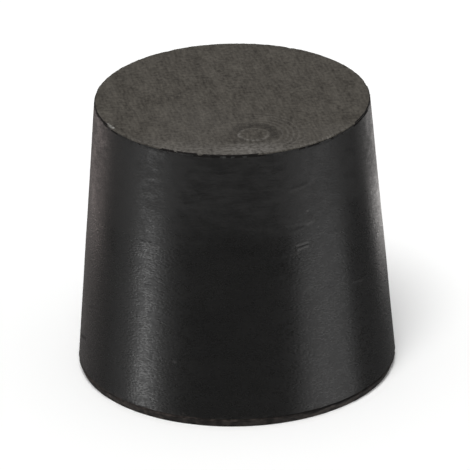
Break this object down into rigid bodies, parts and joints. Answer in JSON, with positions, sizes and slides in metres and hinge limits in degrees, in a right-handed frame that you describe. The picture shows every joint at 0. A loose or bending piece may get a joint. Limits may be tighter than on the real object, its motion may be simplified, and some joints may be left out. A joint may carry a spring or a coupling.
{
  "type": "rubber stopper",
  "caption": "Solid tapered round rubber plug that closes the neck of a flask, bottle or tube, and stands on its large end.",
  "frame": {"origin": "centre of the large end face, which is the face that the stopper stands on", "axes": "+Z along the stopper's axis towards the small end; the pin mark on the small end lies near -Y"},
  "size_m": [0.056, 0.056, 0.05],
  "materials": {
    "black_rubber": "moulded black rubber: satin side wall with faint sheen, matt grey-black end faces with fine straight streaks"
  },
  "bodies": {
    "root": {"stopper": "black_rubber"}
  },
  "joints": []
}
